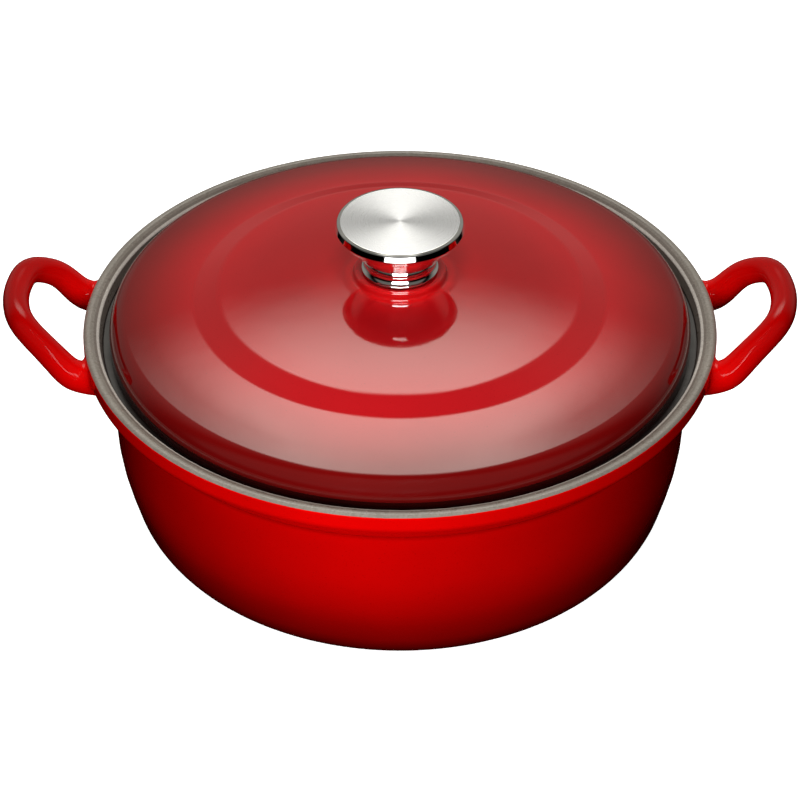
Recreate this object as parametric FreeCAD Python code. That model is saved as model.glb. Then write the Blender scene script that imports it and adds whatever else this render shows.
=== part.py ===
"""Shallow round enamelled cast iron dutch oven, 280 mm across its rim, with two loop handles
and an inset domed lid that carries a stainless steel knob.

Frame: millimetres, +Z up, the origin at the centre of the base, the handles along X.
Every turned piece is one outline in the (radius, height) half plane, revolved about Z.
An outline is a list of corners (radius, height, rounding); a rounding of 0 keeps the corner sharp.
"""

import FreeCAD
import Part
import math
import os

Vec = FreeCAD.Vector

# Driving dimensions.
RIM_R = 140.0  # outer edge of the rim lip
RIM_Z = 102.0  # top of the rim lip
WALL_R = 127.6  # outer radius of the side wall under the rim
WALL_T = 4.2  # thickness of the side wall
FLOOR_Z = 5.2  # inside face of the floor
FOOT_RECESS = 1.0  # depth of the hollow inside the foot ring
FOOT_RECESS_R = 77.0

SEAT_Z = RIM_Z - 7.0  # ledge in the rim that the lid rests on
SEAT_R = 131.7  # radius of the recess around that ledge
LIP_R = 133.0  # inner edge of the rim lip, which slopes down to it
LIP_Z = RIM_Z - 2.0
MOUTH_R = WALL_R - WALL_T  # clear radius of the mouth

LID_GAP = 3.2  # radial play of the lid's edge in the recess
RING_GAP = 1.0  # radial play of the lid's locating ring in the mouth
LID_R = SEAT_R - LID_GAP
SHOULDER_Z = RIM_Z + 5.8  # where the lid's slope would meet its upright edge
SHOULDER_BEND = 9.5
RING_R = MOUTH_R - RING_GAP
RING_T = 4.2
RING_DEPTH = 5.0
LID_CROWN_Z = RIM_Z + 24.2  # top of the lid's dome
LID_TOP_Z = LID_CROWN_Z + 2.5  # low round boss on the dome, the seat for the knob
LID_BOSS_R = 20.0
LID_BOSS_Z = LID_CROWN_Z - 6.5  # underside of the lid at its centre
SCREW_HOLE_R = 3.3

KNOB_R = 28.2
GASKET_T = 0.8
GASKET_R = 16.0
KNOB_Z = LID_TOP_Z + GASKET_T  # underside of the knob
KNOB_H = 24.2
KNOB_BASE_R = 16.8
KNOB_WAIST_R = 14.2  # foot of the neck's cone
KNOB_FLOOR_T = 2.2
CAP_LIP_Z = KNOB_Z + KNOB_H - 5.8  # underside of the cap's rolled edge
CAP_SEAT_Z = CAP_LIP_Z + 3.4  # where the cap rests on the neck's flange
INSERT_R = 6.5
THREAD_R = 3.0
SCREW_R = 2.95
SCREW_HEAD_R = 6.0
SCREW_HEAD_H = 3.4
SCREW_REACH = 10.5  # length of thread above the knob's floor
FLAT_WASHER = (SCREW_HOLE_R, 8.0, 1.2)  # inner radius, outer radius, thickness
SPRING_WASHER = (3.1, 5.5, 1.6)
SPLIT_W = 1.2

HANDLE_TUBE_R = 5.8
HANDLE_ELBOW_R = 7.2  # radius of a leg where it turns up beside the pot
HANDLE_MOUTH_R = 9.0  # radius of a leg where it runs into the pot
HANDLE_START_X = 131.0  # a leg is drawn from here, inside the rim, and then trimmed to the pot
HANDLE_FLARE_X = 136.6
HANDLE_TAPER = 12.0  # length over which a leg narrows to the bar's own radius
HANDLE_ROOT_Y = 30.3
HANDLE_ROOT_Z = RIM_Z - 9.8
HANDLE_TIP_Z = RIM_Z + 13.0
# One leg of a grip's centreline: corners (x, y, z) and the radius of the bend at each.
HANDLE_LEG = [
    (142.6, 31.0, HANDLE_ROOT_Z, 10.0),
    (153.6, 29.8, RIM_Z + 4.3, 20.0),
    (165.8, 21.1, HANDLE_TIP_Z, 17.0),
]
HANDLE_TIP = (170.0, 0, HANDLE_TIP_Z, 53.0)


def rounded_path(points, radii, closed):
    """Edges through points, with a tangent arc at each point whose radius isn't 0."""
    count = len(points)
    arrive, leave, middle, reaches = [], [], [], []
    for i in range(count):
        arrive.append(points[i])
        leave.append(points[i])
        middle.append(None)
        reaches.append(0)
        if radii[i] == 0:
            continue
        before = (points[i - 1] - points[i]).normalize()
        after = (points[(i + 1) % count] - points[i]).normalize()
        half = before.getAngle(after) / 2
        reaches[i] = radii[i] / math.tan(half)
        inward = (before + after).normalize()
        arrive[i] = points[i] + before * reaches[i]
        leave[i] = points[i] + after * reaches[i]
        middle[i] = points[i] + inward * (radii[i] / math.sin(half) - radii[i])
    edges = []
    for i in range(count):
        if middle[i] is not None:
            edges.append(Part.Arc(arrive[i], middle[i], leave[i]).toShape())
        if i == count - 1 and not closed:
            break
        run = points[i].distanceToPoint(points[(i + 1) % count])
        needed = reaches[i] + reaches[(i + 1) % count]
        assert needed <= run, ("arcs too long for their run", i, needed, run)
        following = arrive[(i + 1) % count]
        if leave[i].distanceToPoint(following) > 1e-6:
            edges.append(Part.LineSegment(leave[i], following).toShape())
    return edges


def outline(corners):
    """Closed wire in the XZ plane through corners (radius, height, rounding)."""
    points = [Vec(c[0], 0, c[1]) for c in corners]
    radii = [c[2] for c in corners]
    return Part.Wire(rounded_path(points, radii, True))


def turned(corners):
    """A solid turned about Z from its outline."""
    return Part.Face(outline(corners)).revolve(Vec(0, 0, 0), Vec(0, 0, 1), 360)


def ring(inner_r, outer_r, low, high, rounding=0.3):
    """A flat ring with slightly broken edges."""
    return turned(
        [
            (inner_r, low, rounding),
            (outer_r, low, rounding),
            (outer_r, high, rounding),
            (inner_r, high, rounding),
        ]
    )


def pot_outside():
    """Corners of the pot's outside, from the foot up over the bead under the rim to the top of the lip."""
    return [
        (FOOT_RECESS_R, FOOT_RECESS, 1.5),
        (FOOT_RECESS_R + 3.0, 0, 1.0),
        (116.5, 0, 26.0),
        (WALL_R, 42.0, 110.0),
        (WALL_R + 0.4, RIM_Z - 21.0, 5.0),
        (RIM_R, RIM_Z - 8.4, 5.0),
        (RIM_R, RIM_Z, 1.9),
    ]


def pot_inside():
    """Corners from the top of the lip down past the ledge that the lid rests on to the floor."""
    return [
        (RIM_R - 3.0, RIM_Z, 2.5),
        (LIP_R, LIP_Z, 0.9),
        (SEAT_R, SEAT_Z, 0.8),
        (MOUTH_R, SEAT_Z, 1.2),
        (MOUTH_R, 44.0, 105.0),
        (112.6, FLOOR_Z, 22.5),
    ]


def pot_body():
    return turned([(0, FOOT_RECESS, 0)] + pot_outside() + pot_inside() + [(0, FLOOR_Z, 0)])


def pot_envelope():
    """The pot's outside filled solid, which trims the handles where they run into it."""
    return turned([(0, FOOT_RECESS, 0)] + pot_outside() + [(0, RIM_Z, 0)])


def lid():
    dome_r, dome_z = 49.0, RIM_Z + 22.6
    thickness = 4.2
    return turned(
        [
            (SCREW_HOLE_R, LID_TOP_Z, 0.3),
            (LID_BOSS_R, LID_TOP_Z, 1.0),
            (LID_BOSS_R + 0.8, LID_CROWN_Z, 1.2),
            (26.0, LID_CROWN_Z, 20.0),
            (dome_r, dome_z, 430.0),
            (80.0, RIM_Z + 17.7, 14.0),
            (91.0, RIM_Z + 13.2, 10.0),
            (105.0, RIM_Z + 10.9, 280.0),
            (LID_R, SHOULDER_Z, SHOULDER_BEND),
            (LID_R, SEAT_Z, 0.8),
            (RING_R, SEAT_Z, 0.5),
            (RING_R, SEAT_Z - RING_DEPTH, 1.5),
            (RING_R - RING_T, SEAT_Z - RING_DEPTH, 1.5),
            (RING_R - RING_T + 1.0, RIM_Z + 2.2, 5.0),
            (103.0, RIM_Z + 6.6, 230.0),
            (90.0, RIM_Z + 9.1, 8.0),
            (79.0, RIM_Z + 13.6, 10.0),
            (dome_r, dome_z - thickness, 425.0),
            (12.0, dome_z - thickness + 1.5, 1.5),
            (10.2, LID_BOSS_Z, 0.8),
            (SCREW_HOLE_R, LID_BOSS_Z, 0.3),
        ]
    )


def knob_neck():
    """Polished cone with a broad thin foot, a floor that the screw clamps and a flange under the cap."""
    flange_r = 26.0
    bore_r = KNOB_WAIST_R - 2.0
    return turned(
        [
            (SCREW_HOLE_R, KNOB_Z, 0.2),
            (KNOB_BASE_R, KNOB_Z, 0.3),
            (KNOB_BASE_R, KNOB_Z + 0.7, 0.3),
            (KNOB_WAIST_R, KNOB_Z + 2.6, 3.0),
            (24.4, CAP_LIP_Z + 0.3, 2.0),
            (flange_r, CAP_LIP_Z + 1.2, 0.4),
            (flange_r, CAP_SEAT_Z, 0.4),
            (24.0, CAP_SEAT_Z, 0.8),
            (23.2, CAP_LIP_Z + 1.2, 2.0),
            (bore_r, KNOB_Z + KNOB_FLOOR_T, 1.5),
            (SCREW_HOLE_R, KNOB_Z + KNOB_FLOOR_T, 0.2),
        ]
    )


def knob_cap():
    """Brushed disc with a polished bevel, whose edge is rolled down and in under the neck's flange."""
    top = KNOB_Z + KNOB_H
    hub_r = INSERT_R + 1.0
    return turned(
        [
            (0, top, 0),
            (26.0, top, 0.6),
            (27.4, top - 0.5, 0.6),
            (KNOB_R, top - 3.4, 0.8),
            (26.6, CAP_LIP_Z, 0.7),
            (25.1, CAP_LIP_Z, 0.3),
            (25.1, CAP_LIP_Z + 0.55, 0.1),
            (26.1, CAP_LIP_Z + 1.2, 0.2),
            (26.1, CAP_SEAT_Z, 0.3),
            (hub_r, CAP_SEAT_Z, 0.4),
            (hub_r, CAP_SEAT_Z + 1.0, 0.4),
            (0, CAP_SEAT_Z + 1.0, 0),
        ]
    )


def knob_insert():
    """Round steel boss with a blind tapped hole, standing between the knob's floor and its cap."""
    low = KNOB_Z + KNOB_FLOOR_T
    high = CAP_SEAT_Z + 1.0
    hole_top = low + SCREW_REACH + 2.0
    return turned(
        [
            (THREAD_R, low, 0.4),
            (INSERT_R, low, 0.5),
            (INSERT_R, high, 0.5),
            (0, high, 0),
            (0, hole_top, 0),
            (THREAD_R, hole_top, 0.3),
        ]
    )


def split_washer(inner_r, outer_r, low, high):
    """A spring washer: a ring with one slanted cut through it."""
    whole = ring(inner_r, outer_r, low, high, 0)
    slot = Part.makeBox(outer_r, SPLIT_W, 4 * (high - low))
    slot.translate(Vec(0, -SPLIT_W / 2, -2 * (high - low)))
    slot.rotate(Vec(0, 0, 0), Vec(1, 0, 0), 35)
    slot.translate(Vec(0, 0, (low + high) / 2))
    return whole.cut(slot)


def screw(head_top):
    """Pan head screw, driven from under the lid, with a cross recess in its head."""
    low = head_top - SCREW_HEAD_H
    tip = KNOB_Z + KNOB_FLOOR_T + SCREW_REACH
    blank = turned(
        [
            (0, low, 0),
            (SCREW_HEAD_R - 1.4, low, 1.4),
            (SCREW_HEAD_R, head_top - 1.2, 1.0),
            (SCREW_HEAD_R - 0.2, head_top, 0.1),
            (SCREW_R, head_top, 0.2),
            (SCREW_R, tip - 0.8, 0),
            (SCREW_R - 0.8, tip, 0),
            (0, tip, 0),
        ]
    )
    recess_depth, recess_l, recess_w = 1.9, 6.4, 1.3
    for angle in (45, 135):
        arm = Part.makeBox(recess_l, recess_w, recess_depth)
        arm.translate(Vec(-recess_l / 2, -recess_w / 2, low))
        arm.rotate(Vec(0, 0, 0), Vec(0, 0, 1), angle)
        blank = blank.cut(arm)
    return blank


def handle(envelope):
    """The loop handle on the +X side, trimmed to the pot's outside."""
    start = (HANDLE_START_X, HANDLE_ROOT_Y, HANDLE_ROOT_Z, 0)
    near_leg = [start] + HANDLE_LEG
    far_leg = [(x, -y, z, bend) for x, y, z, bend in reversed(near_leg)]
    corners = near_leg + [HANDLE_TIP] + far_leg
    points = [Vec(c[0], c[1], c[2]) for c in corners]
    path = Part.Wire(rounded_path(points, [c[3] for c in corners], False))
    section = Part.Wire(Part.makeCircle(HANDLE_TUBE_R, points[0], points[1] - points[0]))
    loop = path.makePipeShell([section], True, True)
    for side in (1, -1):
        loop = loop.fuse(handle_root(side))
    return loop.cut(envelope)


def handle_root(side):
    """The thick end of a leg: a flared stub, the elbow and the taper up to the bar's own radius."""
    elbow, above = [Vec(x, side * y, z) for x, y, z, bend in HANDLE_LEG[:2]]
    stub = turned(
        [
            (0, HANDLE_START_X, 0),
            (HANDLE_MOUTH_R, HANDLE_START_X, 0),
            (HANDLE_MOUTH_R, HANDLE_FLARE_X, 0),
            (HANDLE_ELBOW_R - 0.1, HANDLE_FLARE_X + 3.4, 4.0),
            (HANDLE_ELBOW_R - 0.1, elbow.x, 0),
            (0, elbow.x, 0),
        ]
    )
    stub.rotate(Vec(0, 0, 0), Vec(0, 1, 0), 90)
    stub.translate(Vec(0, elbow.y, HANDLE_ROOT_Z))
    ball = Part.makeSphere(HANDLE_ELBOW_R, elbow)
    taper = Part.makeCone(HANDLE_ELBOW_R - 0.05, HANDLE_TUBE_R - 0.1, HANDLE_TAPER, elbow, above - elbow)
    return stub.fuse(ball).fuse(taper)


def build():
    envelope = pot_envelope()
    right = handle(envelope)
    flat_low = LID_BOSS_Z - FLAT_WASHER[2]
    spring_low = flat_low - SPRING_WASHER[2]
    return {
        "pot_body": pot_body(),
        "right_handle": right,
        "left_handle": right.mirror(Vec(0, 0, 0), Vec(1, 0, 0)),
        "lid": lid(),
        "knob_gasket": ring(SCREW_HOLE_R, GASKET_R, LID_TOP_Z, KNOB_Z, 0.2),
        "knob_neck": knob_neck(),
        "knob_cap": knob_cap(),
        "knob_insert": knob_insert(),
        "flat_washer": ring(FLAT_WASHER[0], FLAT_WASHER[1], flat_low, LID_BOSS_Z, 0.25),
        "spring_washer": split_washer(SPRING_WASHER[0], SPRING_WASHER[1], spring_low, flat_low),
        "knob_screw": screw(spring_low),
    }


os.makedirs("parts", exist_ok=True)
for name, shape in build().items():
    solids = shape.Solids
    assert len(solids) == 1 and solids[0].isValid(), name
    solids[0].exportStep("parts/" + name + ".step")
    print(name, "volume", round(solids[0].Volume), "mm3")
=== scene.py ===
"""Looks of the enamelled cast iron dutch oven: turned castings, swept handles, knob, enamel and studio."""

import math

import bmesh
import bpy
import numpy as np
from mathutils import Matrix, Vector


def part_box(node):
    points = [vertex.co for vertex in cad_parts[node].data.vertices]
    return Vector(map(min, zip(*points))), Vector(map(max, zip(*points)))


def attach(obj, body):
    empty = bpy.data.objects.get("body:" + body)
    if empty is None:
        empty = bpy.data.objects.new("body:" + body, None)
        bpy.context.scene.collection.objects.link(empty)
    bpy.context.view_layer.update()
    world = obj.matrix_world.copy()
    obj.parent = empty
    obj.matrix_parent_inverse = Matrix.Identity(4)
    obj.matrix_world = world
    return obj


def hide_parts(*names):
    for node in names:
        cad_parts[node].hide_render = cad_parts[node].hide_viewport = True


MM = 0.001
SEGMENTS = 288  # faces round a turned piece
ARC_STEP = math.radians(5)  # largest turn between two points of a rounded corner
SAME_SPOT = 1e-7  # two points closer than this, in millimetres, are one
ON_AXIS = 1e-6  # a radius below this, in millimetres, is none
STRAIGHT = 1e-6  # a turn below this, in radians, is none

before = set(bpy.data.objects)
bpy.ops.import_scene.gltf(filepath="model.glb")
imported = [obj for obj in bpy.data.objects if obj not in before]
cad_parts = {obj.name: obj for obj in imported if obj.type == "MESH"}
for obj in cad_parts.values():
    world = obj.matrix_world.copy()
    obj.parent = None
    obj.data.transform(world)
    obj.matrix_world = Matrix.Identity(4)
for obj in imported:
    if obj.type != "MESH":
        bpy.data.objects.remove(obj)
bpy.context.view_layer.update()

# Sizes in millimetres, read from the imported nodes.
pot_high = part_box("pot_body")[1]
lid_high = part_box("lid")[1]
neck_low, neck_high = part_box("knob_neck")
cap_low, cap_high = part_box("knob_cap")
RIM_Z = pot_high.z / MM
RIM_R = pot_high.x / MM
LID_TOP_Z = lid_high.z / MM
KNOB_Z = neck_low.z / MM
CAP_LIP_Z = cap_low.z / MM
CAP_SEAT_Z = neck_high.z / MM
KNOB_TOP = cap_high.z / MM

# Sizes that the nodes' boxes don't give.
FOOT_RECESS = 1.0  # depth of the hollow inside the foot ring
FLOOR_Z = 5.2  # inside face of the pot's floor
WALL_R = 127.6  # outside of the side wall
MOUTH_R = 123.4  # clear radius of the mouth
SEAT_Z = RIM_Z - 7.0  # ledge that the lid rests on
SEAT_R = 131.7  # recess around that ledge
SCREW_HOLE_R = 3.3  # the knob screw's hole
LIP_R = 133.0  # inner edge of the rim lip
LIP_EDGE_R = 134.2  # the painted highlight on the lip's inner edge reaches out to here
LIP_TOP_R = 135.4  # the lip's top colour reaches in to here
RED_EDGE_R = RIM_R - 1.3  # the red outside ends here, on the lip's rounded edge
RIM_ROUND = 1.9  # rounding of the rim's outer edge
LID_CROWN_Z = LID_TOP_Z - 2.5  # foot of the low boss under the knob
KNOB_BASE_R = 16.8  # the knob's thin foot
KNOB_R = 28.2  # at the bevel's outer corner, before it is rounded


# ---------------------------------------------------------------- shapes


def unit(vector):
    return vector / np.linalg.norm(vector)


def rounded_path(points, radii, closed):
    """Points and unit tangents along a path whose corners are rounded by tangent arcs."""
    points = [np.array(p, float) for p in points]
    count = len(points)
    spots, tangents = [], []

    def add(spot, tangent):
        if not spots or np.linalg.norm(spot - spots[-1]) > SAME_SPOT:
            spots.append(spot)
            tangents.append(tangent)

    for i in range(count):
        arriving = unit(points[i] - points[i - 1])
        leaving = unit(points[(i + 1) % count] - points[i])
        if not closed and i == 0:
            arriving = leaving
        if not closed and i == count - 1:
            leaving = arriving
        turn = math.acos(max(-1.0, min(1.0, float(arriving @ leaving))))
        if radii[i] == 0 or turn < STRAIGHT:
            add(points[i], arriving)
            if turn > STRAIGHT:
                spots.append(points[i])
                tangents.append(leaving)
            continue
        reach = radii[i] * math.tan(turn / 2)
        start = points[i] - arriving * reach
        centre = points[i] + unit(leaving - arriving) * radii[i] / math.cos(turn / 2)
        across = (start - centre) / radii[i]
        steps = max(3, math.ceil(turn / ARC_STEP))
        for s in range(steps + 1):
            angle = turn * s / steps
            spot = centre + radii[i] * (across * math.cos(angle) + arriving * math.sin(angle))
            add(spot, arriving * math.cos(angle) - across * math.sin(angle))
    return np.array(spots), np.array(tangents)


def new_object(name, vertices, faces, normals, materials, face_materials):
    """A smooth mesh object with exact normals, in metres."""
    mesh = bpy.data.meshes.new(name)
    mesh.from_pydata([tuple(v) for v in vertices], [], faces)
    mesh.update()
    for material in materials:
        mesh.materials.append(material)
    mesh.polygons.foreach_set("material_index", face_materials)
    mesh.shade_smooth()
    mesh.normals_split_custom_set_from_vertices([tuple(n) for n in normals])
    piece = bpy.data.objects.new(name, mesh)
    bpy.context.scene.collection.objects.link(piece)
    return piece


def turned(name, corners, materials, choose=None):
    """Turns a closed outline of (radius, height, rounding) corners about Z. The outline runs with the
    solid on its left. choose(radius, height, facing) gives the material index of a face, where facing is
    the z of its normal."""
    profile, tangents = rounded_path([c[:2] for c in corners], [c[2] for c in corners], True)
    count = len(profile)
    angles = np.arange(SEGMENTS) * 2 * math.pi / SEGMENTS
    around = np.stack([np.cos(angles), np.sin(angles)], 1)
    vertices, normals, rows = [], [], []
    for (radius, height), (along_r, along_z) in zip(profile, tangents):
        outward_r, outward_z = along_z, -along_r
        if radius < ON_AXIS:
            rows.append([len(vertices)] * SEGMENTS)
            vertices.append((0, 0, height * MM))
            normals.append((0, 0, 1 if outward_z > 0 else -1))
            continue
        rows.append(list(range(len(vertices), len(vertices) + SEGMENTS)))
        for c, s in around:
            vertices.append((radius * c * MM, radius * s * MM, height * MM))
            normals.append((outward_r * c, outward_r * s, outward_z))
    faces, indices = [], []
    for i in range(count):
        j = (i + 1) % count
        step = profile[j] - profile[i]
        on_axis = max(profile[i][0], profile[j][0]) < ON_AXIS
        if on_axis or np.linalg.norm(step) < SAME_SPOT:
            continue
        middle = (profile[i] + profile[j]) / 2
        facing = -step[0] / np.linalg.norm(step)
        index = choose(middle[0], middle[1], facing) if choose else 0
        for k in range(SEGMENTS):
            m = (k + 1) % SEGMENTS
            face = [rows[i][k], rows[i][m], rows[j][m], rows[j][k]]
            faces.append(list(dict.fromkeys(face)))
            indices.append(index)
    return new_object(name, vertices, faces, normals, materials, indices)


# Corners of (radius, height, rounding), from the foot ring out and up, and from the rim in and down.
POT_OUTSIDE = [
    (77.0, FOOT_RECESS, 1.5),
    (80.0, 0, 1.0),
    (116.5, 0, 26.0),
    (WALL_R, 42.0, 110.0),
    (WALL_R + 0.4, RIM_Z - 21.0, 5.0),
    (RIM_R, RIM_Z - 8.4, 5.0),
    (RIM_R, RIM_Z, RIM_ROUND),
]
POT_INSIDE = [
    (RIM_R - 3.0, RIM_Z, 2.5),
    (LIP_TOP_R, RIM_Z - 0.8, 0),
    (LIP_EDGE_R, RIM_Z - 1.4, 0),
    (LIP_R, RIM_Z - 2.0, 0.9),
    (SEAT_R, SEAT_Z, 0.8),
    (MOUTH_R, SEAT_Z, 1.2),
    (MOUTH_R, 44.0, 105.0),
    (112.6, FLOOR_Z, 22.5),
]


def make_pot(materials):
    """Red outside up to the rim's outer edge, darkening towards the base partly with painted shade, grey over
    the lip, a painted highlight on the lip's inner edge, a darker grey of painted shade on its inner slope
    and down the recess, a near-black painted shadow on the ledge under the lid and cooking enamel inside."""
    red, lip, cooking, lip_edge, recess, ledge = range(6)

    def choose(radius, height, facing):
        if radius > RED_EDGE_R and facing < 0.5:
            return red
        if radius > LIP_TOP_R:
            return lip
        # On the lip's inner rounding: the painted highlight on the edge, and the darker grey of painted shade
        # on the inner slope.
        if height > RIM_Z - 2.5 and radius > LIP_R - 0.4:
            return lip_edge if radius < LIP_EDGE_R else recess
        # The recess wall gets the darker grey of painted shade.
        if height > SEAT_Z + 0.8 and radius > SEAT_R - 0.1:
            return recess
        # The ledge under the lid gets the painted shadow.
        if height >= SEAT_Z - 1.0 and radius > MOUTH_R - 0.5 and facing > -0.2:
            return ledge
        mid_wall_r = np.interp(height, [5, 12, 20, 30, 42], [108, 115, 118.5, 122, MOUTH_R + 0.3])
        return cooking if height > FLOOR_Z - 1.2 and radius < mid_wall_r else red

    corners = [(0, FOOT_RECESS, 0)] + POT_OUTSIDE + POT_INSIDE + [(0, FLOOR_Z, 0)]
    return turned("pot", corners, materials, choose)


def make_lid(materials):
    """Red on top with painted light and shade in the red, a near-black painted shadow on the upright edge
    inside the recess, cooking enamel underneath.
    """
    dome_r, dome_z, thickness = 49.0, RIM_Z + 22.6, 4.2
    ring_r, ring_low, ring_t = MOUTH_R - 1.0, SEAT_Z - 5.0, 4.2
    edge_r = SEAT_R - 3.2
    boss_z = LID_CROWN_Z - 6.5
    red, cooking, upright_edge = range(3)
    corners = [
        (SCREW_HOLE_R, boss_z, 0.3),
        (10.2, boss_z, 0.8),
        (12.0, dome_z - thickness + 1.5, 1.5),
        (dome_r, dome_z - thickness, 425.0),
        (79.0, RIM_Z + 13.6, 10.0),
        (90.0, RIM_Z + 9.1, 8.0),
        (103.0, RIM_Z + 6.6, 230.0),
        (ring_r - ring_t + 1.0, RIM_Z + 2.2, 5.0),
        (ring_r - ring_t, ring_low, 1.5),
        (ring_r, ring_low, 1.5),
        (ring_r, SEAT_Z, 0.5),
        (edge_r, SEAT_Z, 0.8),
        (edge_r, RIM_Z + 5.8, 9.5),
        (105.0, RIM_Z + 10.9, 280.0),
        (91.0, RIM_Z + 13.2, 10.0),
        (80.0, RIM_Z + 17.7, 14.0),
        (dome_r, dome_z, 430.0),
        (26.0, LID_CROWN_Z, 20.0),
        (20.8, LID_CROWN_Z, 1.2),
        (20.0, LID_TOP_Z, 1.0),
        (SCREW_HOLE_R, LID_TOP_Z, 0.3),
    ]

    def choose(radius, height, facing):
        if radius < ring_r + 0.1 and height < RIM_Z + 4.0:
            return cooking
        # The upright edge inside the recess gets the painted shadow.
        if radius > edge_r - 0.01:
            return upright_edge
        return cooking if facing < -0.05 else red

    return turned("lid_casting", corners, materials, choose)


def make_neck(material):
    """Polished cone on a thin foot, hollow, with a flange that carries the cap."""
    foot_r, flange_r = 14.2, 26.0
    bore_r, floor_z = foot_r - 2.0, KNOB_Z + 2.2
    corners = [
        (SCREW_HOLE_R, KNOB_Z, 0.2),
        (KNOB_BASE_R, KNOB_Z, 0.3),
        (KNOB_BASE_R, KNOB_Z + 0.7, 0.3),
        (foot_r, KNOB_Z + 2.6, 3.0),
        (24.4, CAP_LIP_Z + 0.3, 2.0),
        (flange_r, CAP_LIP_Z + 1.2, 0.4),
        (flange_r, CAP_SEAT_Z, 0.4),
        (24.0, CAP_SEAT_Z, 0.8),
        (23.2, CAP_LIP_Z + 1.2, 2.0),
        (bore_r, floor_z, 1.5),
        (SCREW_HOLE_R, floor_z, 0.2),
    ]
    return turned("knob_collar", corners, [material])


def make_cap(materials):
    """Brushed on its flat top, polished on the bevel and the rolled edge."""
    hub_r = 7.5
    brushed, polished = range(2)
    corners = [
        (0, CAP_SEAT_Z + 1.0, 0),
        (hub_r, CAP_SEAT_Z + 1.0, 0.4),
        (hub_r, CAP_SEAT_Z, 0.4),
        (26.1, CAP_SEAT_Z, 0.3),
        (26.1, CAP_LIP_Z + 1.2, 0.2),
        (25.1, CAP_LIP_Z + 0.55, 0.1),
        (25.1, CAP_LIP_Z, 0.3),
        (26.6, CAP_LIP_Z, 0.7),
        (KNOB_R, KNOB_TOP - 3.4, 0.8),
        (27.4, KNOB_TOP - 0.5, 0.6),
        (26.0, KNOB_TOP, 0.6),
        (0, KNOB_TOP, 0),
    ]

    def choose(radius, height, facing):
        return brushed if facing > 0.999 and height > KNOB_TOP - 0.1 else polished

    return turned("knob_disc", corners, materials, choose)


HANDLE_TUBE_R = 5.8
HANDLE_THICKENING = 1.5  # extra radius where a leg turns up beside the pot
HANDLE_MOUTH_R = 9.8  # radius of a leg where it runs into the pot
HANDLE_ROOT_Y = 30.3
HANDLE_ROOT_Z = RIM_Z - 9.8
HANDLE_TIP_Z = RIM_Z + 13.0
# Corners of (x, y, z, rounding) of one leg's middle line and of the grip's middle.
HANDLE_LEG = [
    (131.0, HANDLE_ROOT_Y, HANDLE_ROOT_Z, 0),
    (142.6, 31.0, HANDLE_ROOT_Z, 10.0),
    (153.6, 29.8, RIM_Z + 4.3, 20.0),
    (165.8, 21.1, HANDLE_TIP_Z, 17.0),
]
HANDLE_TIP = (170.0, 0, HANDLE_TIP_Z, 53.0)
HANDLE_START = 2.4  # the round bar is drawn from this far outside the rim; the flare fills the rest
HANDLE_SIDES = 56  # corners of the bar's section
FLARE_STEPS = 18
SUNK = 0.12  # depth of a leg's foot inside the collar


def wall_radius(height):
    """Radius of the pot's outside near the rim, at a height in millimetres."""
    corners = POT_OUTSIDE[3:]
    profile, _ = rounded_path([c[:2] for c in corners], [0] + [c[2] for c in corners[1:]], False)
    return float(np.interp(height, profile[:, 1], profile[:, 0]))


def smooth_line(points, spacing, rounds):
    """The line resampled at even spacing and relaxed, so that its bends run into each other."""
    lengths = np.concatenate([[0], np.cumsum(np.linalg.norm(np.diff(points, axis=0), axis=1))])
    count = int(lengths[-1] / spacing) | 1
    even = np.linspace(0, lengths[-1], count)
    line = np.stack([np.interp(even, lengths, points[:, k]) for k in range(3)], 1)
    for _ in range(rounds):
        line[1:-1] = (line[:-2] + 2 * line[1:-1] + line[2:]) / 4
    return line


def bezier(start, first, second, end, t):
    """The point at t, from 0 to 1, of a curve from start to end that is drawn towards first and second."""
    return start * (1 - t) ** 3 + 3 * first * t * (1 - t) ** 2 + 3 * second * t * t * (1 - t) + end * t**3


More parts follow.
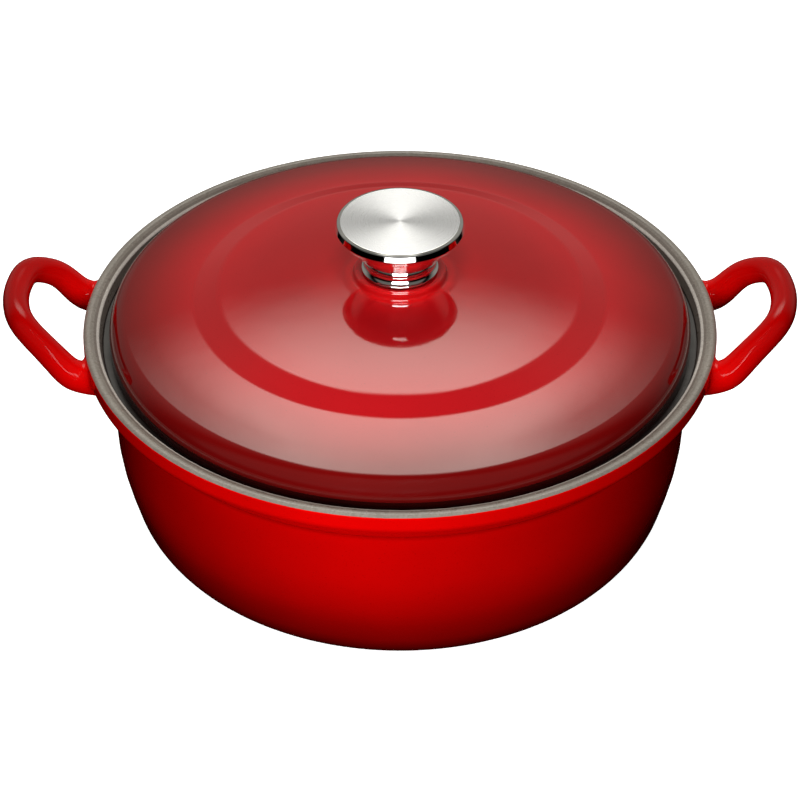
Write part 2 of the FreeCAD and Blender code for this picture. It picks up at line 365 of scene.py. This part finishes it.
def make_handle(name, side, material):
    """A loop of round bar whose two legs flare out and run tangent into the collar under the rim."""
    corners = HANDLE_LEG + [HANDLE_TIP] + [(x, -y, z, r) for x, y, z, r in reversed(HANDLE_LEG)]
    path, _ = rounded_path([c[:3] for c in corners], [c[3] for c in corners], False)
    line = smooth_line(path, spacing=0.6, rounds=40)
    line = line[line[:, 0] > RIM_R + HANDLE_START]
    tangents = np.gradient(line, axis=0)
    tangents /= np.linalg.norm(tangents, axis=1)[:, None]
    up = np.array([0, 0, 1.0])
    turns = np.arange(HANDLE_SIDES) * 2 * math.pi / HANDLE_SIDES
    rings, sides = [], []
    for spot, tangent in zip(line, tangents):
        normal = unit(up - tangent * (up @ tangent))
        across = np.cross(tangent, normal)
        nearness = np.clip((HANDLE_TIP[0] - spot[0]) / (HANDLE_TIP[0] - RIM_R), 0, 1)
        radius = HANDLE_TUBE_R + HANDLE_THICKENING * nearness**3.2
        rings.append(np.array([spot + radius * (normal * math.cos(a) + across * math.sin(a)) for a in turns]))
        sides.append(math.copysign(1, across[1]))

    def flare(ring, centre, along, across_sign):
        """Rings from the bar's end to its foot on the collar. along points to the pot."""
        foot_y = math.copysign(HANDLE_ROOT_Y, centre[1])
        out = []
        for s in range(1, FLARE_STEPS + 1):
            t = s / FLARE_STEPS
            row = []
            for corner, turn in zip(ring, turns):
                sideways, lift = across_sign * math.sin(turn), math.cos(turn)
                foot_z = min(HANDLE_ROOT_Z + HANDLE_MOUTH_R * lift, RIM_Z - RIM_ROUND)
                foot = np.array([0, foot_y + HANDLE_MOUTH_R * sideways, foot_z])
                foot[0] = math.sqrt((wall_radius(foot_z) - SUNK) ** 2 - foot[1] ** 2)
                slope = wall_radius(foot_z + 0.5) - wall_radius(foot_z - 0.5)
                inwards = unit(np.array([-slope * lift, -sideways, -lift]))
                reach = np.linalg.norm(corner - foot)
                first = corner + along * reach * 0.45
                second = foot + inwards * min(reach * 0.3, 2.2)
                row.append(bezier(corner, first, second, foot, t))
            out.append(np.array(row))
        return out

    start = flare(rings[0], line[0], -tangents[0], sides[0])
    end = flare(rings[-1], line[-1], tangents[-1], sides[-1])
    rings = start[::-1] + rings + end
    vertices = np.concatenate(rings) * MM
    faces = []
    for i in range(len(rings) - 1):
        a, b = i * HANDLE_SIDES, (i + 1) * HANDLE_SIDES
        for k in range(HANDLE_SIDES):
            m = (k + 1) % HANDLE_SIDES
            faces.append((a + k, b + k, b + m, a + m))
    if side < 0:
        vertices[:, :2] *= -1
    mesh = bpy.data.meshes.new(name)
    mesh.from_pydata([tuple(v) for v in vertices], [], faces)
    mesh.materials.append(material)
    work = bmesh.new()
    work.from_mesh(mesh)
    bmesh.ops.recalc_face_normals(work, faces=work.faces)
    work.to_mesh(mesh)
    work.free()
    mesh.shade_smooth()
    piece = bpy.data.objects.new(name, mesh)
    bpy.context.scene.collection.objects.link(piece)
    return piece


# ---------------------------------------------------------------- materials


class Tree:
    """A short way to write a node tree. Inputs are numbers, colours or the outputs of other nodes."""

    def __init__(self, tree):
        self.tree = tree

    def feed(self, value, socket):
        if isinstance(value, bpy.types.NodeSocket):
            self.tree.links.new(value, socket)
        elif isinstance(value, tuple):
            socket.default_value = (*value, 1.0)
        else:
            socket.default_value = value

    def add(self, kind, inputs, **settings):
        node = self.tree.nodes.new(kind)
        for key, value in settings.items():
            setattr(node, key, value)
        for key, value in inputs.items():
            self.feed(value, node.inputs[key])
        return node

    def split(self, vector):
        return self.add("ShaderNodeSeparateXYZ", {0: vector}).outputs

    def join(self, x, y, z):
        return self.add("ShaderNodeCombineXYZ", {0: x, 1: y, 2: z}).outputs[0]

    def math(self, operation, first, second=0.0):
        return self.add("ShaderNodeMath", {0: first, 1: second}, operation=operation).outputs[0]

    def mix(self, factor, first, second):
        return self.add("ShaderNodeMix", {0: factor, 6: first, 7: second}, data_type="RGBA").outputs[2]

    def ramp(self, value, low, high, out_low=0.0, out_high=1.0):
        """A soft step from out_low to out_high while the value goes from low to high."""
        inputs = {"Value": value, "From Min": low, "From Max": high, "To Min": out_low, "To Max": out_high}
        return self.add("ShaderNodeMapRange", inputs, interpolation_type="SMOOTHSTEP").outputs["Result"]


class Surface(Tree):
    """The node tree of one material round its Principled shader."""

    def __init__(self, name, **looks):
        self.material = bpy.data.materials.new(name)
        self.material.use_nodes = True
        super().__init__(self.material.node_tree)
        self.place = self.add("ShaderNodeTexCoord", {}).outputs["Object"]
        self.give(**looks)

    def give(self, **looks):
        """Inputs of the shader, with _ for the spaces in their names."""
        for key, value in looks.items():
            self.feed(value, self.tree.nodes["Principled BSDF"].inputs[key.replace("_", " ")])

    def noise(self, scale, detail=3.0, rough=0.5, vector=None):
        inputs = {"Scale": scale, "Detail": detail, "Roughness": rough, "Vector": vector or self.place}
        return self.add("ShaderNodeTexNoise", inputs).outputs["Fac"]

    def fade(self, value, stops):
        """Colours along a value, from stops of (position, colour)."""
        node = self.add("ShaderNodeValToRGB", {0: value})
        colours = node.color_ramp
        colours.interpolation = "EASE" if len(stops) == 2 else "B_SPLINE"
        for i, (spot, colour) in enumerate(stops):
            stop = colours.elements[i] if i < 2 else colours.elements.new(spot)
            stop.position = spot
            stop.color = (*colour, 1.0)
        return node.outputs["Color"]

    def radius_and_height(self):
        x, y, z = self.split(self.place)
        square = self.math("ADD", self.math("POWER", x, 2), self.math("POWER", y, 2))
        return self.math("SQRT", square), z

    def bumps(self, *layers):
        """Layers of (height, depth in metres), laid over each other."""
        below = {}
        for height, depth in layers:
            bump = self.add("ShaderNodeBump", {"Strength": 1.0, "Distance": depth, "Height": height, **below})
            below = {"Normal": bump.outputs["Normal"]}
        self.give(**below)


def shade(colour, amount):
    return tuple(min(1, c * amount) for c in colour)


def gloss_enamel(name, stops, span, by_height=True, foot=False, specular=0.5):
    """Fired glossy enamel that fades from bright to dark, with slow shifts of colour, fine frit specks,
    orange peel and a slightly wavy casting. The fade runs over a span of height or of radius, in mm.
    foot wears the enamel through where the pot stands."""
    n = Surface(name, IOR=1.5, Specular_IOR_Level=specular)
    radius, height = n.radius_and_height()
    along = n.math("DIVIDE", height if by_height else radius, span * MM)
    drift = n.math("MULTIPLY", n.math("SUBTRACT", n.noise(14, 4), 0.5), 0.07)
    # The stops carry painted light and shade as well as the enamel's own ombre.
    colour = n.fade(n.math("ADD", along, drift), stops)
    shift = n.ramp(n.noise(11, 4), 0.35, 0.68, 0, 0.16)
    colour = n.mix(shift, colour, (0.12, 0.0008, 0.0008))
    speck = n.ramp(n.noise(1500, 1), 0.68, 0.76, 0, 0.3)
    colour = n.mix(speck, colour, (0.10, 0.001, 0.001))
    rough = n.ramp(n.noise(55, 4, 0.6), 0.3, 0.75, 0.045, 0.10)
    if foot:
        worn = n.math("MULTIPLY", n.ramp(height, 0.0012, 0.0002), n.ramp(n.noise(160, 5, 0.7), 0.4, 0.62))
        colour = n.mix(worn, colour, (0.035, 0.03, 0.028))
        rough = n.math("MAXIMUM", rough, n.math("MULTIPLY", worn, 0.55))
    n.give(Base_Color=colour, Roughness=rough)
    wave, peel = n.noise(34, 2), n.noise(330, 2)
    n.bumps((wave, 0.00010), (peel, 0.000008), (speck, -0.000004))
    return n.material


def satin_enamel(name, light, dark, rough_low, rough_high):
    """Satin cooking enamel: grainy, clouded, with pale specks."""
    n = Surface(name, IOR=1.5)
    colour = n.mix(n.ramp(n.noise(900, 3, 0.7), 0.3, 0.7), dark, light)
    cloud = n.ramp(n.noise(25, 4), 0.3, 0.7, 0, 0.35)
    colour = n.mix(cloud, colour, shade(dark, 0.75))
    speck = n.ramp(n.noise(2300, 1), 0.7, 0.78, 0, 0.5)
    colour = n.mix(speck, colour, shade(light, 1.5))
    rough = n.ramp(n.noise(120, 4, 0.6), 0.3, 0.7, rough_low, rough_high)
    n.give(Base_Color=colour, Roughness=rough)
    n.bumps((n.noise(40, 2), 0.00008), (n.noise(700, 3, 0.6), 0.000012))
    return n.material


def polished_steel(name, tint, rough_low, rough_high):
    """Mirror polish with faint smears and hairlines round the axis."""
    n = Surface(name, Metallic=1.0)
    colour = n.mix(n.ramp(n.noise(60, 3), 0.3, 0.7), tint, shade(tint, 0.93))
    rough = n.ramp(n.noise(190, 5, 0.65), 0.35, 0.7, rough_low, rough_high)
    n.give(Base_Color=colour, Roughness=rough)
    radius, height = n.radius_and_height()
    hairlines = n.noise(2600, 2, 0.5, n.join(radius, 0.0, height))
    n.bumps((hairlines, 0.0000015), (n.noise(45, 2), 0.00002))
    return n.material


def brushed_disc(name, tint):
    """Steel brushed in circles: a hairline at each radius, which comes and goes along its circle."""
    n = Surface(name, Metallic=1.0, Anisotropic=0.7, Anisotropic_Rotation=0.25)
    x, y, _ = n.split(n.place)
    radius, _ = n.radius_and_height()
    angle = n.math("ARCTAN2", y, x)
    lines = n.math("MULTIPLY", radius, 9000.0)
    along_x = n.math("MULTIPLY", n.math("COSINE", angle), 1.6)
    along_y = n.math("MULTIPLY", n.math("SINE", angle), 1.6)
    hair = n.noise(1.0, 4, 0.7, n.join(lines, along_x, along_y))
    colour = n.mix(n.ramp(hair, 0.3, 0.7), tint, shade(tint, 0.8))
    around = n.add("ShaderNodeTangent", {}, direction_type="RADIAL", axis="Z").outputs[0]
    n.give(Base_Color=colour, Roughness=n.ramp(hair, 0.25, 0.75, 0.24, 0.36), Tangent=around)
    n.bumps((hair, 0.000004))
    return n.material


def satin_steel(name, tint):
    """Plain turned steel of the hidden hardware."""
    n = Surface(name, Metallic=1.0)
    colour = n.mix(n.ramp(n.noise(300, 4), 0.3, 0.7), tint, shade(tint, 0.75))
    rough = n.ramp(n.noise(800, 4, 0.6), 0.3, 0.7, 0.25, 0.42)
    n.give(Base_Color=colour, Roughness=rough)
    n.bumps((n.noise(1400, 3), 0.00001))
    return n.material


def gasket_rubber(name):
    n = Surface(name)
    colour = n.mix(n.ramp(n.noise(500, 3), 0.3, 0.7), (0.016, 0.015, 0.015), (0.04, 0.038, 0.036))
    rough = n.ramp(n.noise(900, 3), 0.3, 0.7, 0.6, 0.8)
    n.give(Base_Color=colour, Roughness=rough)
    n.bumps((n.noise(1800, 3), 0.00001))
    return n.material


# Stops of (share of the height or of the radius, colour).
# The pot's red darkens towards the base: partly the enamel's own ombre, partly painted shade on the lower
# wall and the base.
POT_OMBRE_AND_SHADE = [
    (0.0, (0.03, 0.0008, 0.0008)),
    (0.10, (0.13, 0.0007, 0.0007)),
    (0.38, (0.58, 0.0006, 0.0006)),
    (0.85, (0.82, 0.0006, 0.0006)),
]
# The lid's red by radius: the bright ring round the boss under the knob is a painted highlight, the brighter
# band on the step ring is painted light, and the darkening towards the edge is partly the enamel's own ombre
# and partly painted shade on the shoulder.
LID_LIGHT_AND_OMBRE = [
    (0.0, (0.40, 0.0040, 0.0060)),
    (0.125, (0.40, 0.0040, 0.0060)),
    (0.150, (0.85, 0.0070, 0.0090)),
    (0.175, (0.40, 0.0040, 0.0060)),
    (0.45, (0.46, 0.0070, 0.0100)),
    (0.62, (0.64, 0.0100, 0.0150)),
    (0.70, (0.50, 0.0080, 0.0110)),
    (0.80, (0.31, 0.0040, 0.0040)),
    (0.94, (0.085, 0.0020, 0.0020)),
]
# The handles' red darkens from the roots towards the tops of the loops: painted shade.
HANDLE_PAINTED_SHADE = [
    (0.0, (0.90, 0.0008, 0.0008)),
    (0.74, (0.86, 0.0008, 0.0008)),
    (0.86, (0.62, 0.0007, 0.0007)),
    (0.97, (0.42, 0.0006, 0.0006)),
]
# Near-black on the lid's upright edge inside the recess: painted shadow.
EDGE_SHADOW_FADE = [
    (0.92, (0.012, 0.0008, 0.0008)),
    (1.0, (0.030, 0.0010, 0.0010)),
]
POT_RED = gloss_enamel("pot_red_enamel", POT_OMBRE_AND_SHADE, RIM_Z, foot=True)
HANDLE_RED = gloss_enamel("handle_red_enamel", HANDLE_PAINTED_SHADE, RIM_Z + 20.0, specular=0.16)
LID_RED = gloss_enamel("lid_red_enamel", LID_LIGHT_AND_OMBRE, RIM_R, by_height=False)
LID_EDGE_SHADOW = gloss_enamel("lid_edge_shadow_enamel", EDGE_SHADOW_FADE, RIM_Z)
RIM_GREY = satin_enamel("rim_grey_enamel", (0.325, 0.285, 0.245), (0.235, 0.205, 0.175), 0.22, 0.36)
# Pale on the lip's inner edge: painted highlight.
LIP_EDGE_HIGHLIGHT = satin_enamel("lip_edge_highlight_enamel", (0.66, 0.61, 0.55), (0.50, 0.45, 0.41), 0.16, 0.28)
# Darker grey on the lip's inner slope and the recess wall: painted shade.
RECESS_SHADE_GREY = satin_enamel("recess_shade_enamel", (0.24, 0.20, 0.17), (0.17, 0.14, 0.12), 0.25, 0.40)
# Near-black on the ledge under the lid: painted shadow.
LEDGE_SHADOW = satin_enamel("ledge_shadow_enamel", (0.022, 0.014, 0.013), (0.014, 0.009, 0.008), 0.3, 0.45)
COOKING_GREY = satin_enamel("cooking_enamel", (0.085, 0.078, 0.072), (0.055, 0.050, 0.047), 0.42, 0.56)
POLISHED = polished_steel("polished_steel", (0.80, 0.79, 0.78), 0.035, 0.085)
BRUSHED = brushed_disc("brushed_steel", (0.84, 0.84, 0.88))
SCREW_STEEL = satin_steel("screw_steel", (0.62, 0.61, 0.60))
RUBBER = gasket_rubber("gasket_rubber")


# ---------------------------------------------------------------- pieces

pot = make_pot([POT_RED, RIM_GREY, COOKING_GREY, LIP_EDGE_HIGHLIGHT, RECESS_SHADE_GREY, LEDGE_SHADOW])
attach(pot, "pot")
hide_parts("pot_body")

grips = {}
for label, side in (("right", 1), ("left", -1)):
    grip = grips[side] = make_handle("handle_" + label, side, HANDLE_RED)
    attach(grip, "pot")
    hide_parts(label + "_handle")

lid = make_lid([LID_RED, COOKING_GREY, LID_EDGE_SHADOW])
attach(lid, "lid")
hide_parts("lid")

collar = make_neck(POLISHED)
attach(collar, "knob")
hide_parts("knob_neck")

disc = make_cap([BRUSHED, POLISHED])
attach(disc, "knob")
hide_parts("knob_cap")


def give(node, material):
    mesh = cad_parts[node].data
    mesh.materials.clear()
    mesh.materials.append(material)


give("knob_gasket", RUBBER)
for steel_node in ("knob_insert", "flat_washer", "spring_washer", "knob_screw"):
    give(steel_node, SCREW_STEEL)


# ---------------------------------------------------------------- studio


def make_floor():
    """A pale floor, nearly shadowless, that the glossy enamel doesn't mirror."""
    mesh = bpy.data.meshes.new("floor")
    size = 30.0
    corners = [(-size, -size, 0), (size, -size, 0), (size, size, 0), (-size, size, 0)]
    mesh.from_pydata(corners, [], [(0, 1, 2, 3)])
    paint = Surface("pale_floor", Base_Color=(0.9, 0.9, 0.9), Roughness=1.0, Specular_IOR_Level=0.0)
    paint.give(Emission_Color=(1, 1, 1), Emission_Strength=0.95)
    mesh.materials.append(paint.material)
    floor = bpy.data.objects.new("floor", mesh)
    bpy.context.scene.collection.objects.link(floor)
    floor.visible_glossy = False
    floor.visible_diffuse = False


def polar(distance, azimuth, elevation, height=0.1):
    """A place seen from the object at that azimuth, measured from +Y towards +X, and elevation."""
    a, e = math.radians(azimuth), math.radians(elevation)
    return (
        distance * math.cos(e) * math.sin(a),
        distance * math.cos(e) * math.cos(a),
        height + distance * math.sin(e),
    )


def add_area(name, place, aim, *, size, power, size_y=None, glossy=True, only=None):
    """A rectangular lamp, sizes in metres and power in watts. only is the one piece that it reaches."""
    light = bpy.data.lights.new(name, "AREA")
    light.shape = "RECTANGLE"
    light.size = size
    light.size_y = size_y or size
    light.energy = power
    lamp = bpy.data.objects.new(name, light)
    lamp.location = place
    lamp.rotation_euler = (Vector(aim) - Vector(place)).to_track_quat("-Z", "Y").to_euler()
    lamp.visible_glossy = glossy
    lamp.visible_camera = False
    bpy.context.scene.collection.objects.link(lamp)
    if only:
        lit = bpy.data.collections.new("lit_by_" + name)
        lit.objects.link(only)
        lamp.light_linking.receiver_collection = lit


def make_world():
    """A dark studio with a tall softbox behind and above the pot, over a dim glow behind and a dimmer one
    in front: strength by direction. The camera sees plain white, and reflections are a little warmer."""
    world = bpy.data.worlds.new("studio")
    world.use_nodes = True
    n = Tree(world.node_tree)
    across, away, up = n.split(n.add("ShaderNodeTexCoord", {}).outputs["Generated"])
    elevation = n.math("DEGREES", n.math("ARCSINE", up))
    azimuth = n.math("DEGREES", n.math("ARCTAN2", across, away))
    glow = n.math("MULTIPLY", n.ramp(away, 0.05, 0.6, 0, 0.28), n.ramp(up, -0.35, 0.15))
    front = n.math("MULTIPLY", n.ramp(away, -0.3, 0, 0.14, 0), n.ramp(up, 0.1, 0.4))
    box = n.math("MULTIPLY", n.ramp(elevation, 33, 56), n.ramp(elevation, 60, 76, 1, 0))
    sideways = n.math("ABSOLUTE", n.math("ADD", azimuth, 1.0))
    box = n.math("MULTIPLY", box, n.ramp(sideways, 15, 33, 1, 0))
    strength = n.math("ADD", n.math("ADD", glow, front), n.math("MULTIPLY", box, 5.0))
    seen = n.add("ShaderNodeLightPath", {}).outputs["Is Camera Ray"]
    background = n.tree.nodes["Background"].inputs
    n.feed(n.math("MAXIMUM", strength, seen), background["Strength"])
    warm = n.mix(n.math("SUBTRACT", 1.0, seen), (1, 1, 1), (1, 0.99, 0.90))
    n.feed(warm, background["Color"])
    bpy.context.scene.world = world


def make_camera():
    """Looks at the pot from the front and above, with the rim's middle a little over the view's middle."""
    distance = 1.4
    elevation = math.radians(35.3)
    below_rim = math.radians(1.479348)
    data = bpy.data.cameras.new("camera")
    data.sensor_width = 36.0
    data.lens = 142.2
    data.clip_start = 0.05
    data.clip_end = 100.0
    camera = bpy.data.objects.new("camera", data)
    rim = Vector((0, 0, pot_high.z))
    camera.location = rim + distance * Vector((0, -math.cos(elevation), math.sin(elevation)))
    camera.rotation_euler = (math.radians(90) - elevation - below_rim, 0, 0)
    bpy.context.scene.collection.objects.link(camera)
    bpy.context.scene.camera = camera


make_floor()
make_world()
make_camera()
add_area("front", polar(0.43, 185, 9), (0, 0, 0.06), size=0.2, power=0.95, glossy=False)
add_area("top", polar(1.5, 180, 68), (0, 0, 0.1), size=0.6, power=8.4, glossy=False)
add_area("back", polar(1.6, 0, 14), (0, 0, 0.06), size=0.6, power=8.0, glossy=False)

# Below the level of the disc's top, so that it lights the disc's edge alone.
add_area("disc_card", (0, -1.2, 0.078), (0, 0, 0.12), size=1.1, size_y=0.14, power=2.0, only=disc)
add_area("collar_card", polar(1.2, 180, 16), (0, 0, 0.14), size=1.0, size_y=0.9, power=55.0, only=collar)
for side, grip in grips.items():
    place = polar(1.2, 180 + 15 * side, 22)
    aim = (0.155 * side, -0.02, 0.1)
    add_area("strip_" + grip.name, place, aim, size=0.14, size_y=1.1, power=3.6, only=grip)

bpy.context.scene.view_settings.view_transform = "Standard"
bpy.context.scene.view_settings.look = "None"
